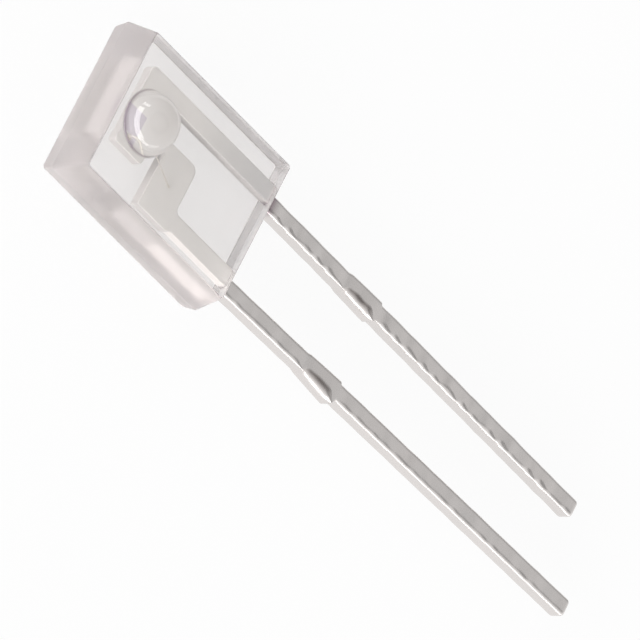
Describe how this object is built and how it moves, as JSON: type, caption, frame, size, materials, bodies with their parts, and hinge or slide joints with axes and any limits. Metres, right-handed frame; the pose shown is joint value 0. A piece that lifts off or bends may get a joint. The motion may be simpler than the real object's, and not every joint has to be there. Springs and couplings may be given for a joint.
{
  "type": "phototransistor",
  "caption": "Side-looking phototransistor: clear drafted epoxy block with a domed lens on its front face, moulded round a chip on a leadframe whose long square leads run out below.",
  "frame": {"origin": "middle of the flat back face of the moulded block, on that face", "axes": "+Z out of the front face, the way the lens looks; +Y from the leads toward the block's top; +X to the right seen from the front; the part lies on its back"},
  "size_m": [0.0044, 0.0205, 0.0022],
  "materials": {
    "clear_epoxy": "glossy clear epoxy with a faint pink tint",
    "tinned_lead": "bright hot-dipped tin",
    "silicon": "polished dark silicon",
    "silver_adhesive": "silver-filled epoxy adhesive",
    "gold_wire": "bright gold"
  },
  "bodies": {
    "root": {"epoxy_body": "clear_epoxy", "collector_lead": "tinned_lead", "emitter_lead": "tinned_lead", "transistor_chip": "silicon", "die_attach": "silver_adhesive", "bond_wire": "gold_wire"}
  },
  "joints": []
}
